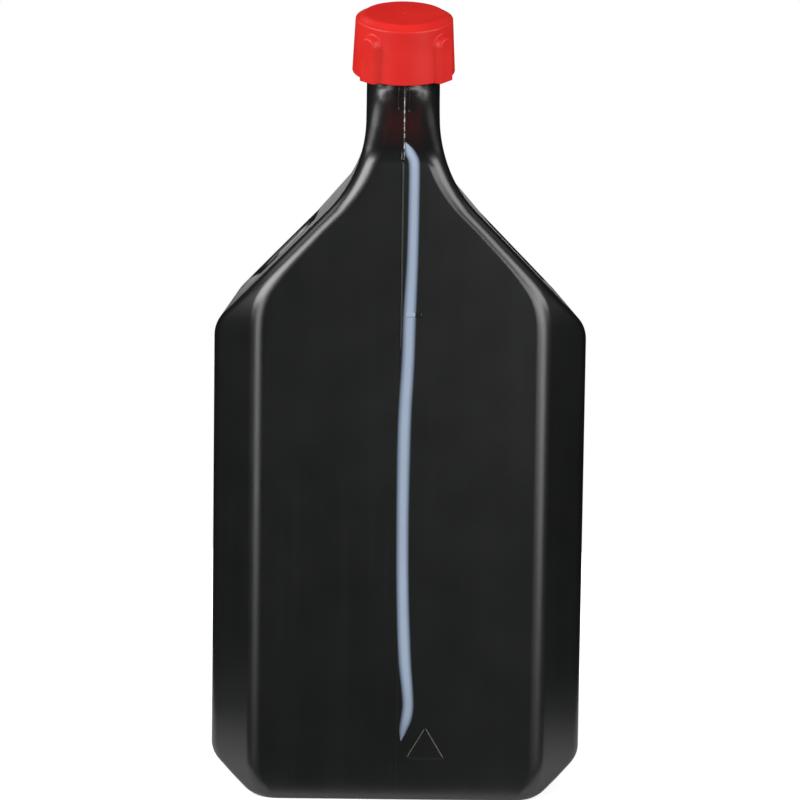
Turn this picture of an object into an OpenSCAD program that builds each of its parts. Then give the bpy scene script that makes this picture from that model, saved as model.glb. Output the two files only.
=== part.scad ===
// Five litre jerrycan for liquids, blow moulded with a leaning neck at the front,
// a clear sight strip let into the front wall, a hand opening under the top ridge,
// a turned screw cap with four finger lobes and a sealing disc inside the cap.
// Millimetres. Z is up, the neck side faces -Y, the origin is the middle of the base.

/* [Body] */
// Width of the body, side to side
body_w = 138; // [126:1:160]
// Depth of the body, neck side to rear
body_d = 190; // [178:1:230]
// Wall of the blown body
wall = 1.9; // [1.4:0.1:2.6]
// Height where the sides end and the shoulders start
shoulder_z = 175.8; // [170:0.1:180]
// Slope of the shoulders, up from level
shoulder_angle = 45.3; // [44:0.1:47]
// Bevel cut off each upright corner
corner_cut = 15; // [12:0.5:18]
// Rounding on both sides of that bevel
corner_round = 10; // [6:0.5:12]
// Rounding along the edge between front and shoulder
hip_round = 7; // [5:0.5:9]
// Softness of the bend where the front's upright edge runs into the shoulder
hip_bend = 7; // [5:0.5:11]
// Rounding where the side bends into the shoulder
shoulder_round = 12; // [8:1:16]

/* [Base] */
// Inward reach of the bevel along the two lower side edges
base_cut = 15.8; // [12:0.2:18]
// Height of that bevel
base_cut_h = 14; // [11:0.1:18]
// Rounding of the lowest edge
foot_round = 2.5; // [2:0.5:4]
// Width of the flat rim that the can stands on
rim_w = 6; // [4:0.5:8]
// Height of the pushed-up middle of the base
push_up = 3; // [2:0.5:5]

/* [Top ridge] */
// Height of the ridge behind the neck
ridge_z = 247; // [243:0.5:249]
// Rounding of the ridge's rear end
ridge_round = 20; // [14:1:26]
// Length of the hand opening, front to back
hand_l = 112; // [80:1:116]
// Height of the hand opening
hand_h = 25; // [20:1:27]
// Bottom of the hand opening
hand_z = 184.5; // [183.5:0.5:188.5]
// Distance of the hand opening behind the front face
hand_back = 60; // [56:1:64]
// Corner rounding of the hand opening
hand_round = 9; // [5:0.5:9]

/* [Neck] */
// Forward lean of the neck
neck_lean = 18.5; // [15:0.1:19.5]
// Outside diameter of the plain neck
neck_d = 27.3; // [26:0.1:29]
// Bore of the neck
bore_d = 24; // [20:0.1:24.5]
// Distance of the cap's seat behind the front face
seat_back = 32; // [30:0.5:33]
// Height of the cap's seat above the base
seat_z = 269.5; // [268:0.5:274]
// Radius of the flare from neck to shoulders
flare = 47; // [40:1:50]
// Height on the front face where it starts to bend back to the neck
bend_z = 234; // [231:0.1:235]
// Outside diameter of the threaded finish
finish_d = 29.4; // [28.6:0.1:29.8]
// Height of the finish, from the cap's seat to the mouth
finish_h = 18; // [16:0.5:20]

/* [Thread] */
// Pitch of the thread
pitch = 4; // [3.5:0.1:4.5]
// Turns of thread on the neck
neck_turns = 1.75; // [1.25:0.25:2]
// Turns of thread in the cap
cap_turns = 1.5; // [1:0.25:1.75]
// Height of the thread on the neck
thread_h = 1.4; // [1:0.1:1.6]
// Free space between cap and neck, measured on the radius
thread_gap = 0.45; // [0.35:0.05:0.6]
// Distance from the mouth to the middle of the thread's upper end
thread_top = 3.5; // [3:0.1:4]

/* [Cap] */
// Outside diameter of the cap at its lower rim
cap_d = 38.2; // [37.6:0.1:40]
// Outside diameter of the cap under its bevelled top edge
cap_top_d = 36; // [35.6:0.1:37]
// Height of the cap's side
cap_side_h = 20.4; // [19.6:0.1:23]
// Wall of the cap beside its roof
cap_wall = 1.5; // [1.2:0.1:1.8]
// Rise of the bevelled ring at the top
cap_bevel = 1.6; // [1:0.1:2.2]
// Diameter of the flat disc on the top
cap_disc_d = 29.2; // [26:0.1:32]
// Number of finger lobes
lobes = 4; // [3:1:6]
// Reach of the lobes from the axis
lobe_r = 20.9; // [20.4:0.1:21.4]
// Width of a lobe
lobe_w = 6.8; // [5:0.1:8]
// Space between the top of a lobe and the bevelled edge
lobe_top = 3.5; // [1.5:0.1:4]
// Turn of the first lobe away from the front
lobe_turn = 49; // [0:1:90]

/* [Sealing disc] */
// Thickness of the disc in the cap
disc_t = 1.4; // [1:0.1:2]

/* [Sight strip] */
// Width of the clear strip
strip_w = 4.4; // [3:0.1:6]
// Furthest run of the strip's middle line away from the middle of the front
strip_wave = 4.45; // [3:0.05:5]
// Height of the strip's lower tip
strip_z = 21.5; // [20:0.5:26]
// Height of the strip's upper tip
strip_top_z = 243; // [241:0.5:245]

/* [Marks] */
// Height of the raised marks on the front
mark_h = 0.3; // [0.2:0.05:0.5]
// Height of the full mark above the base
full_z = 179.4; // [150:0.1:186]
// Length of the full mark beside the strip
full_l = 2.4; // [2:0.1:6]
// Thickness of the full mark
full_t = 1.4; // [0.8:0.1:2]
// Distance of the triangle's middle from the middle of the front
tri_x = 11; // [9:0.5:14]
// Height of the triangle's lower side above the base
tri_z = 16.1; // [13:0.1:20]
// Width of the triangle
tri_w = 13.4; // [10:0.1:16]
// Height of the triangle
tri_h = 11.2; // [8:0.1:13]
// Thickness of the triangle's lines
line_w = 0.7; // [0.5:0.1:1.2]

/* [Hidden] */
$fn = 96;
e = 0.01;

half_w = body_w / 2;
half_d = body_d / 2;
neck_r = neck_d / 2;
bore_r = bore_d / 2;
// The skin's top ring stands this much outside the turned neck tube that it carries.
neck_step = 0.15;
skin_r = neck_r + neck_step;
seat_y = -half_d + seat_back;

// Side outline: half width at a height
slope_t = tan(shoulder_angle);
side_turn = 90 - shoulder_angle;
shoulder_reach = shoulder_round * tan(side_turn / 2);
flare_reach = flare * tan(side_turn / 2);
flare_z = shoulder_z + (half_w - skin_r) * slope_t;
flare_end = flare_z + flare_reach;
flare_start = flare_z - flare_reach * sin(shoulder_angle);
shoulder_start = shoulder_z - shoulder_reach;
shoulder_end = shoulder_z + shoulder_reach * sin(shoulder_angle);
base_turn = atan(base_cut / base_cut_h);
base_round = 8;
base_reach = base_round * tan(base_turn / 2);
base_bend_end = base_cut_h + base_reach;
base_bend_start = base_cut_h - base_reach * cos(base_turn);

function half_width(z) =
    z < base_bend_start ? half_w - base_cut + base_cut * z / base_cut_h
    : z < base_bend_end ? half_w - base_round + sqrt(base_round * base_round - pow(base_bend_end - z, 2))
    : z < shoulder_start ? half_w
    : z < shoulder_end ? half_w - shoulder_round + sqrt(pow(shoulder_round, 2) - pow(z - shoulder_start, 2))
    : z < flare_start ? half_w - (z - shoulder_z) / slope_t
    : z < flare_end ? skin_r + flare - sqrt(flare * flare - pow(flare_end - z, 2))
    : skin_r;
function side_slope(z) = (half_width(z + e) - half_width(z - e)) / (2 * e);
function inner_width(z) = half_width(z) - wall * sqrt(1 + pow(side_slope(z), 2));

// Larger of two values with a soft change from one to the other
function soft_max(a, b, k) = (a + b + sqrt(pow(a - b, 2) + k * k)) / 2;
hip_cut = 0.6 * hip_round;
function cut_at(z) = soft_max(half_width(z) - (half_w - corner_cut), hip_cut, hip_bend);

// One rounded corner in the positive quarter: two arcs with a bevel between them
arc_steps = 3;
function corner(w, b, c, r) = let (q = min(r, 1.6 * c), s = tan(22.5)) concat(
    [for (i = [0:arc_steps]) let (a = 45 * i / arc_steps)
        [w - q + q * cos(a), b - c - s * q + q * sin(a)]],
    [for (i = [0:arc_steps]) let (a = 45 + 45 * i / arc_steps)
        [w - c - s * q + q * cos(a), b - q + q * sin(a)]]);
function turned(list) = [for (i = [len(list) - 1:-1:0]) list[i]];

// A ring through a front point f and a rear point b, both [y, z]
function ring(f, b, w, cf, rf, cb, rb, inner = false, pinch = 0) =
    let (h = norm(b - f) / 2, m = (f + b) / 2, d = (b - f) / (2 * h),
         rear = corner(w, h, cb, rb), front = corner(w, h, cf, rf),
         flat = concat(rear, [for (p = turned(rear)) [-p[0], p[1]]],
                       [for (p = front) [-p[0], -p[1]]], [for (p = turned(front)) [p[0], -p[1]]]))
    [for (p = flat)
        let (y = m[0] + d[0] * p[1], z = m[1] + d[1] * p[1],
             ratio = abs(d[1]) < 0.0001 ? 1
                : (inner ? inner_width(z) / inner_width(m[1]) : half_width(z) / half_width(m[1])),
             s = min(max((y + half_d - 55) / 20, 0), 1))
        [p[0] * ratio * (1 - pinch * s), y, z]];

// Level ring at a height, drawn in by an inset
function level(z, inset, at) =
    let (w = half_width(at) - inset, c = max(cut_at(at) - 0.586 * inset, hip_cut))
    ring([-half_d + inset, z], [half_d - inset, z], w, c, corner_round, c, corner_round);
function level_in(z) =
    let (w = inner_width(z), c = max(cut_at(z) - 0.586 * wall, hip_cut))
    ring([-half_d + wall, z], [half_d - wall, z], w, c, corner_round - wall, c, corner_round - wall);

// Lines of the top: the front bends back to the neck, the rear turns over onto the ridge
lean_dir = [-sin(neck_lean), cos(neck_lean)];
side_dir = [cos(neck_lean), sin(neck_lean)];
seat = [seat_y, seat_z];
root_drop = 3;
root = seat - root_drop * lean_dir;
root_front = root - skin_r * side_dir;
root_back = root + skin_r * side_dir;
// The face's slope back to the neck is 45 degrees; its foot is a small rounding.
bend_round = 11;
bend_reach = bend_round * tan(22.5);
bend = [-half_d, bend_z + bend_reach];
meet_s = ((root_front[0] - bend[0]) * lean_dir[1] - (root_front[1] - bend[1]) * lean_dir[0])
    / (lean_dir[1] - lean_dir[0]);
meet = bend + meet_s * [1, 1];
throat = 11;
throat_up = 0.95 * norm(meet - root_front);
slope_end = meet - throat * [0.707, 0.707];
function bend_at(a) = [-half_d + bend_round - bend_round * cos(a), bend_z + bend_round * sin(a)];
bend_end = bend_at(45);
neck_up = meet + throat_up * lean_dir;
// A parabola that leaves and arrives along the lines to the point b
function curved(a, b, c, t) = (1 - t) * (1 - t) * a + 2 * t * (1 - t) * b + t * t * c;
function mix(a, b, t) = a + (b - a) * t;
front_line = [
    [-half_d, flare_start], [-half_d, (flare_start + bend_z) / 2], [-half_d, bend_z],
    bend_at(22.5), bend_end, mix(bend_end, slope_end, 0.25), mix(bend_end, slope_end, 0.5),
    mix(bend_end, slope_end, 0.75), slope_end,
    curved(slope_end, meet, neck_up, 0.25), curved(slope_end, meet, neck_up, 0.5),
    curved(slope_end, meet, neck_up, 0.75), neck_up, root_front];
rear_x = half_d - ridge_round;
ridge_turn_z = ridge_z - ridge_round;
function over(a) = [rear_x + ridge_round * cos(a), ridge_turn_z + ridge_round * sin(a)];
behind = root_back - ((root_back[1] - ridge_z) / lean_dir[1]) * lean_dir;
heel = 5;
ridge_run = rear_x - (behind[0] + heel);
rear_line = [
    [half_d, min(flare_start, ridge_turn_z)], over(15), over(35), over(60), over(90),
    [rear_x - 0.12 * ridge_run, ridge_z], [rear_x - 0.35 * ridge_run, ridge_z],
    [rear_x - 0.6 * ridge_run, ridge_z], [rear_x - 0.85 * ridge_run, ridge_z],
    behind + [heel, 0], behind + 0.3 * heel * ([1, 0] + lean_dir),
    behind + heel * lean_dir, mix(behind + heel * lean_dir, root_back, 0.5), root_back];
top_n = len(front_line);
function top_round(i) = mix(hip_round, skin_r * 0.97, pow(i / (top_n - 1), 1.4));
function rear_round(i) = mix(hip_round, skin_r * 0.97, min(1, i / 4));
function top_pinch(i) = i < 4 ? 0 : i < 5 ? 0.05 : i < 10 ? 0.2 : 0;
function along(line, i) =
    let (a = line[max(i - 1, 0)], b = line[min(i + 1, len(line) - 1)]) (b - a) / norm(b - a);
function front_in(i) = let (t = along(front_line, i)) front_line[i] + wall * [t[1], -t[0]];
function rear_in(i) = let (t = along(rear_line, i)) rear_line[i] + wall * [-t[1], t[0]];
function top_ring(i) =
    let (f = front_line[i], b = rear_line[i], rf = top_round(i), rb = rear_round(i))
    ring(f, b, half_width((f[1] + b[1]) / 2), 0.6 * rf, rf, 0.6 * rb, rb, false, top_pinch(i));
function top_ring_in(i) =
    let (last = i == top_n - 1, r = bore_r + neck_step,
         f = last ? root - r * side_dir : front_in(i), b = last ? root + r * side_dir : rear_in(i),
         w = last ? r : inner_width((f[1] + b[1]) / 2),
         rf = min(top_round(i), w * 0.97), rb = min(rear_round(i), w * 0.97))
    ring(f, b, w, 0.6 * rf, rf, 0.6 * rb, rb, !last, top_pinch(i));

side_z = [base_bend_start, (base_bend_start + base_bend_end) / 2, base_bend_end,
    shoulder_start, mix(shoulder_start, shoulder_end, 0.33), mix(shoulder_start, shoulder_end, 0.67),
    shoulder_end, shoulder_end + 4, shoulder_end + 8, shoulder_end + 13, shoulder_end + 20];
rim_in = foot_round + rim_w;
outer_rings = concat(
    [level(push_up, rim_in + 4, 0), level(0, rim_in, 0), level(0, foot_round, 0),
     level(foot_round * 0.29, foot_round * 0.29, foot_round * 0.29), level(foot_round, 0, foot_round)],
    [for (z = side_z) level(z, 0, z)], [for (i = [0:top_n - 1]) top_ring(i)]);
inner_rings = concat(
    [level(push_up + wall, rim_in + 4 + wall, 0), level(wall + 1.5, foot_round + wall + 1, 0),
     level_in(foot_round + wall + 1.5)],
    [for (z = side_z) level_in(z)], [for (i = [0:top_n - 1]) top_ring_in(i)]);

ring_n = len(outer_rings[0]);
function flat_list(rings) = [for (r = rings) for (p = r) p];
// Two triangles for each cell between two rings, from ring a to the next one
function band(a, b, flip) = [for (i = [0:ring_n - 1])
    let (j = (i + 1) % ring_n, p = a + i, q = a + j, r = b + i, s = b + j)
    each (flip ? [[p, q, s], [p, s, r]] : [[p, s, q], [p, r, s]])];
function fan(start, centre, flip) = [for (i = [0:ring_n - 1])
    let (p = start + i, q = start + (i + 1) % ring_n) flip ? [p, centre, q] : [p, q, centre]];

// The blown skin without its neck: outside, inside and the ring under the neck
module skin() {
    no = len(outer_rings);
    ni = len(inner_rings);
    pts = concat(flat_list(outer_rings), flat_list(inner_rings), [[0, 0, push_up], [0, 0, push_up + wall]]);
    base_in = no * ring_n;
    c_out = (no + ni) * ring_n;
    polyhedron(points = pts, faces = concat(
        fan(0, c_out, false),
        [for (k = [0:no - 2]) each band(k * ring_n, (k + 1) * ring_n, false)],
        band((no - 1) * ring_n, base_in + (ni - 1) * ring_n, false),
        [for (k = [0:ni - 2]) each band(base_in + k * ring_n, base_in + (k + 1) * ring_n, true)],
        fan(base_in, c_out + 1, true)));
}

// The same outside as a full solid, for what must end at the skin
module full_shape() {
    no = len(outer_rings);
    pts = concat(flat_list(outer_rings), [[0, 0, push_up], [0, root[0], root[1]]]);
    c_out = no * ring_n;
    polyhedron(points = pts, faces = concat(
        fan(0, c_out, false),
        [for (k = [0:no - 2]) each band(k * ring_n, (k + 1) * ring_n, false)],
        fan((no - 1) * ring_n, c_out + 1, true)));
}

module rounded(l, h, r) {
    translate([r, 0]) square([l - 2 * r, h]);
    translate([0, r]) square([l, h - 2 * r]);
    for (x = [r, l - r], y = [r, h - r]) translate([x, y]) circle(r);
}

// Prism along X whose outline is drawn in Y and Z
module across(w) {
    translate([-w / 2, 0, 0]) rotate([90, 0, 90]) linear_extrude(w) children();
}

module hand_outline(grow) {
    translate([-half_d + hand_back - grow, hand_z - grow])
        rounded(hand_l + 2 * grow, hand_h + 2 * grow, hand_round + grow);
}

module at_seat() {
    translate([0, seat_y, seat_z]) rotate([neck_lean, 0, 0]) children();
}

// Thread sweep: r0 to r1 on the radius, half widths at the two, middle height and start angle
function thread_pts(r0, r1, h0, h1, z0, turns, a0, n) = [for (i = [0:n])
    let (t = i / n, a = a0 + 360 * turns * t, z = z0 + pitch * turns * t,
         k = min(1, min(t, 1 - t) * n / 2), rk = r0 + (r1 - r0) * max(k, 0.15))
    each [[r0 * cos(a), r0 * sin(a), z - h0], [rk * cos(a), rk * sin(a), z - h1],
          [rk * cos(a), rk * sin(a), z + h1], [r0 * cos(a), r0 * sin(a), z + h0]]];
module thread(r0, r1, h0, h1, z0, turns, a0) {
    n = ceil(turns * 20);
    flip = r1 < r0;
    raw = concat([[0, 3, 2], [0, 2, 1]],
        [for (i = [0:n - 1], k = [0:3]) let (p = 4 * i + k, q = 4 * i + (k + 1) % 4)
            each [[p, q, q + 4], [p, q + 4, p + 4]]],
        [[4 * n, 4 * n + 1, 4 * n + 2], [4 * n, 4 * n + 2, 4 * n + 3]]);
    polyhedron(points = thread_pts(r0, r1, h0, h1, z0, turns, a0, n),
        faces = flip ? [for (f = raw) [f[0], f[2], f[1]]] : raw);
}

finish_r = finish_d / 2;
crest_r = finish_r + thread_h;
cap_bore_r = crest_r + thread_gap;
cap_crest_r = finish_r + thread_gap;
thread_z = finish_h - thread_top - pitch * neck_turns;
crest_half = 0.125 * pitch;
root_half = 0.27 * pitch;
bite = 0.35;

// The neck is blown in one with the shell; it is a solid of its own so that its bore stays round
module neck() color("#242526") {
    at_seat() {
        rotate_extrude() polygon([
            [bore_r, -root_drop], [neck_r, -root_drop], [neck_r, 1], [finish_r, 2.2],
            [finish_r, finish_h - 0.5], [finish_r - 0.5, finish_h], [bore_r, finish_h]]);
        thread(finish_r - bite, crest_r, root_half, crest_half, thread_z, neck_turns, 90);
    }
}

// Front of the strip: it wanders a little from the middle, as it ran from the die.
// Each point gives its share of the strip's height, of its sideways run and of its width.
strip_share = [[0, 0.45, 0.04], [0.017, 0.62, 0.62],
    [0.044, 0.93, 0.9], [0.062, 1, 0.9], [0.09, 0.92, 0.94],
    [0.174, 0.58, 1], [0.242, 0.44, 1], [0.305, 0.37, 1], [0.406, 0.34, 1],
    [0.54, 0.4, 1.06], [0.64, 0.62, 1.04],
    [0.713, 0.7, 1.02], [0.807, 0.87, 0.93], [0.935, 0.94, 0.9], [0.96, 0.92, 0.9], [0.97, 0.84, 0.93],
    [0.978, 0.66, 0.93], [0.987, 0.46, 0.84], [1, 0.2, 0.04]];
strip_run = [for (p = strip_share) [mix(strip_z, strip_top_z, p[0]), strip_wave * p[1], p[2]]];
module strip_front() {
    rotate([90, 0, 0]) translate([0, 0, -seat_y - flare]) linear_extrude(flare + seat_back + 5)
        polygon(concat([for (p = strip_run) [p[1] + p[2] * strip_w / 2, p[0]]],
            turned([for (p = strip_run) [p[1] - p[2] * strip_w / 2, p[0]]])));
}
strip_path = concat([[-half_d, base_cut_h]], [for (i = [2:8]) front_line[i]]);
strip_back = concat([[-half_d + wall, base_cut_h]], [for (i = [2:8]) front_in(i)]);
function shifted(line, d) = [for (p = line) p + d];

// Raised full mark beside the strip and the plain triangle near the base
strip_at_full = lookup(full_z, [for (p = strip_run) [p[0], p[1]]]);
tri_leg = norm([tri_w / 2, tri_h]);
tri_in = tri_w * tri_h / (tri_w + 2 * tri_leg);
module marks() {
    translate([strip_at_full + strip_w / 2 + 0.1, -half_d - mark_h, full_z])
        cube([full_l, mark_h + 0.3, full_t]);
    translate([tri_x, -half_d + 0.3, tri_z + tri_in]) rotate([90, 0, 0])
        linear_extrude(mark_h + 0.3) difference() {
            tri(1);
            tri(1 - line_w / tri_in);
        }
}
module tri(k) {
    scale([k, k]) polygon([[0, tri_h - tri_in], [-tri_w / 2, -tri_in], [tri_w / 2, -tri_in]]);
}

// The blown shell as one mesh: skin, walls of the hand opening, marks, and the gap for the strip
module body() color("#242526") {
    resize([0, 0, 0]) difference() {
        union() {
            skin();
            intersection() {
                full_shape();
                across(body_w) hand_outline(wall);
            }
            marks();
        }
        across(body_w) hand_outline(0);
        intersection() {
            strip_front();
            across(2 * strip_w + 3 * strip_wave)
                polygon(concat(shifted(strip_path, [-1, 0]), turned(shifted(strip_back, [1, 0]))));
        }
    }
}

module sight_strip() color("#a0afc3") {
    intersection() {
        strip_front();
        across(2 * strip_w + 3 * strip_wave) polygon(concat(strip_path, turned(strip_back)));
    }
}

cap_top_r = cap_top_d / 2;
cap_r = cap_d / 2;
cap_h = cap_side_h + cap_bevel;
cap_roof = finish_h + disc_t;
lobe_h = cap_side_h - lobe_top;
// The hollow follows the cap's side from the end of the thread to the roof
roof_r = mix(cap_r, cap_top_r, cap_roof / cap_side_h) - cap_wall;
thread_end = finish_h - thread_top + pitch / 2;

module cap_shell() {
    rotate_extrude() polygon([
        [cap_bore_r, 0], [cap_r, 0], [cap_top_r, cap_side_h - 0.6], [cap_top_r - 0.5, cap_side_h],
        [cap_disc_d / 2, cap_h], [0, cap_h], [0, cap_roof], [roof_r, cap_roof], [cap_bore_r, thread_end]]);
}
module lobe() {
    inner = cap_bore_r + 0.6;
    translate([inner, 0, 0]) rotate([90, 0, 90]) linear_extrude(lobe_r - inner) {
        translate([-lobe_w / 2, 0]) square([lobe_w, lobe_h - lobe_w / 2]);
        translate([0, lobe_h - lobe_w / 2]) circle(lobe_w / 2);
    }
}

module cap() color("#e0291f") at_seat() {
    cap_shell();
    for (i = [0:lobes - 1]) rotate([0, 0, -90 + lobe_turn + i * 360 / lobes]) lobe();
    thread(cap_bore_r + bite, cap_crest_r, root_half * 0.85, crest_half * 0.85,
        thread_z - pitch / 2 + pitch * (neck_turns - cap_turns) / 2,
        cap_turns, 90 + 180 * (neck_turns - cap_turns));
}

module cap_disc() color("#e8e6e0") at_seat()
    translate([0, 0, finish_h]) cylinder(r = min(cap_bore_r, roof_r) - 0.3, h = disc_t);

body();
neck();
sight_strip();
cap();
cap_disc();
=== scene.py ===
import math

import bmesh
import bpy
from mathutils import Matrix, Vector


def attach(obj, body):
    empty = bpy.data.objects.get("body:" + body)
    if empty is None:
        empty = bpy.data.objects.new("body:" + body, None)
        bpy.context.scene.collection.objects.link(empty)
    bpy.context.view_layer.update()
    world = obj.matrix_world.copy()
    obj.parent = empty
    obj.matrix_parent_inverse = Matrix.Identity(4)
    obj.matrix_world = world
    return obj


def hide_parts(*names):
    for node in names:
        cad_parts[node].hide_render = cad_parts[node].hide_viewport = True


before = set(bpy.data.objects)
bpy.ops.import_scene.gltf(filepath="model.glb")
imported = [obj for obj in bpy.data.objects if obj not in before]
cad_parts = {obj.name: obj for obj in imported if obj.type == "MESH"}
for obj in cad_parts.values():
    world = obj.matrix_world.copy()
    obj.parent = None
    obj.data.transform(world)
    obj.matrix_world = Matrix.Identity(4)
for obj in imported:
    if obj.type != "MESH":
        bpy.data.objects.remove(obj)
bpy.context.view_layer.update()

MM = 0.001

# Sizes in millimetres, as in the part
HALF_W, HALF_D = 69.0, 95.0
SHOULDER_Z, SHOULDER_ANGLE, SHOULDER_ROUND = 175.8, 45.3, 12.0
CORNER_CUT, CORNER_ROUND, HIP_ROUND, HIP_BEND = 15.0, 10.0, 7.0, 7.0
BASE_CUT, BASE_CUT_H, BASE_ROUND, FOOT_ROUND, RIM_W, PUSH_UP = 15.8, 14.0, 8.0, 2.5, 6.0, 3.0
RIDGE_Z, RIDGE_ROUND = 247.0, 20.0
HAND_L, HAND_H, HAND_Z, HAND_BACK, HAND_ROUND = 112.0, 25.0, 184.5, 60.0, 9.0
LEAN, NECK_R, BORE_R, SEAT_BACK, SEAT_Z = 18.5, 13.65, 12.0, 32.0, 269.5
FLARE, BEND_Z, FINISH_R, FINISH_H = 47.0, 234.0, 14.7, 18.0
PITCH, NECK_TURNS, CAP_TURNS, THREAD_H, THREAD_GAP, THREAD_TOP = 4.0, 1.75, 1.5, 1.4, 0.45, 3.5
CAP_R, CAP_TOP_R, CAP_SIDE_H, CAP_BEVEL, CAP_DISC_R = 19.1, 18.0, 20.4, 1.6, 14.6
LOBES, LOBE_R, LOBE_W, LOBE_TOP, LOBE_TURN = 4, 20.9, 6.8, 3.5, 49.0
STRIP_W = 4.4

# The throat under the neck runs a touch fuller than in the part
ROOT_DROP, THROAT, HEEL, BEND_ROUND = 1.2, 15.0, 5.0, 11.0

# Fine forms that only the scene has, in millimetres
RIM_ROLL = 3.2
CAP_EDGE, CAP_FOOT = 0.7, 0.35
STRIP_EDGE, STRIP_PROUD = 0.8, 0.05
MARK_Z, MARK_H, MARK_DEPTH, MARK_ROUND = 180.6, 1.6, 0.6, 0.28
TRI_X, TRI_Z, TRI_W, TRI_H, TRI_LINE, TRI_PROUD = 11.0, 16.1, 13.4, 11.2, 0.62, 0.2
PARTING_Z = 166.0

# Step of the front's middle line, a little way up the neck, where the pinch-off's ribs end
PINCH_END = 14.5

# A bevel of this share of the radius has no flat left: its two arcs meet
ARC_SHARE = 0.586
ARC_STEPS = 7
THREAD_STEPS = 48
CAP_SEGMENTS = 240


def sind(a):
    return math.sin(math.radians(a))


def cosd(a):
    return math.cos(math.radians(a))


def tand(a):
    return math.tan(math.radians(a))


def mix(a, b, t):
    return a + (b - a) * t


def clamp(v, low=0.0, high=1.0):
    return min(max(v, low), high)


def ease(v, low=0.0, high=1.0):
    t = clamp((v - low) / (high - low))
    return t * t * (3 - 2 * t)


def soft_max(a, b, k):
    return (a + b + math.sqrt((a - b) ** 2 + k * k)) / 2


# Outline of the blown shell
SKIN_R = NECK_R
SLOPE_T = tand(SHOULDER_ANGLE)
SIDE_TURN = 90 - SHOULDER_ANGLE
SHOULDER_REACH = SHOULDER_ROUND * tand(SIDE_TURN / 2)
FLARE_REACH = FLARE * tand(SIDE_TURN / 2)
FLARE_Z = SHOULDER_Z + (HALF_W - SKIN_R) * SLOPE_T
FLARE_END = FLARE_Z + FLARE_REACH
FLARE_START = FLARE_Z - FLARE_REACH * sind(SHOULDER_ANGLE)
SHOULDER_START = SHOULDER_Z - SHOULDER_REACH
SHOULDER_END = SHOULDER_Z + SHOULDER_REACH * sind(SHOULDER_ANGLE)
BASE_TURN = math.degrees(math.atan(BASE_CUT / BASE_CUT_H))
BASE_REACH = BASE_ROUND * tand(BASE_TURN / 2)
BASE_BEND_END = BASE_CUT_H + BASE_REACH
BASE_BEND_START = BASE_CUT_H - BASE_REACH * cosd(BASE_TURN)


def slope_x(z):
    """Half width on the straight shoulder slope, which the hand opening breaks through."""
    return HALF_W - (z - SHOULDER_Z) / SLOPE_T


def half_width(z):
    """Half width of the shell at a height, from the lower bevel to the neck."""
    if z < BASE_BEND_START:
        return HALF_W - BASE_CUT + BASE_CUT * z / BASE_CUT_H
    if z < BASE_BEND_END:
        return HALF_W - BASE_ROUND + math.sqrt(BASE_ROUND**2 - (BASE_BEND_END - z) ** 2)
    if z < SHOULDER_START:
        return HALF_W
    if z < SHOULDER_END:
        return HALF_W - SHOULDER_ROUND + math.sqrt(SHOULDER_ROUND**2 - (z - SHOULDER_START) ** 2)
    if z < FLARE_START:
        return slope_x(z)
    if z < FLARE_END:
        return SKIN_R + FLARE - math.sqrt(FLARE**2 - (FLARE_END - z) ** 2)
    return SKIN_R


def cut_at(z):
    """Size of the upright corners' bevel; it keeps its inner edge where the sides draw in."""
    return soft_max(half_width(z) - (HALF_W - CORNER_CUT), ARC_SHARE * HIP_ROUND, HIP_BEND)


def corner(w, b, c, r):
    """One quarter of a ring: two arcs with a bevel between them."""
    q = min(r, c / ARC_SHARE)
    s = tand(22.5)
    steps = [45 * (i + 0.5) / ARC_STEPS for i in range(ARC_STEPS)]
    low = [(w - q + q * cosd(a), b - c - s * q + q * sind(a)) for a in steps]
    high = [(w - c - s * q + q * cosd(a + 45), b - q + q * sind(a + 45)) for a in steps]
    return low + high


def all_round(rear, fore):
    """Four quarters of a ring, mirrored from the rear one and the front one."""
    return (
        rear
        + [(-x, v) for x, v in reversed(rear)]
        + [(-x, -v) for x, v in fore]
        + [(x, -v) for x, v in reversed(fore)]
    )


def ring(front, back, width, front_round, back_round, pinch=0.0, front_cut=None, back_cut=None):
    """A closed ring through a front and a back point (y, z), as points in metres."""
    half, middle = (back - front).length / 2, (front + back) / 2
    along = (back - front).normalized()
    rear = corner(width, half, back_cut or ARC_SHARE * back_round, back_round)
    fore = corner(width, half, front_cut or ARC_SHARE * front_round, front_round)
    out = []
    for x, v in all_round(rear, fore):
        y, z = middle[0] + along[0] * v, middle[1] + along[1] * v
        ratio = 1.0 if abs(along[1]) < 1e-4 else half_width(z) / half_width(middle[1])
        draw = 1 - pinch * ease(y, -HALF_D + 50, -HALF_D + 85)
        out.append(Vector((x * ratio * draw, y, z)) * MM)
    return out


def level(z, inset=0.0, at=None):
    """A level ring of the shell; the base's rings lie inset, with their width taken at another height."""
    at = z if at is None else at
    cut = max(cut_at(at) - ARC_SHARE * inset, ARC_SHARE * HIP_ROUND * 0.6)
    edge = HALF_D - inset
    front, back = Vector((-edge, z)), Vector((edge, z))
    return ring(front, back, half_width(at) - inset, CORNER_ROUND, CORNER_ROUND, 0, cut, cut)


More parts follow.
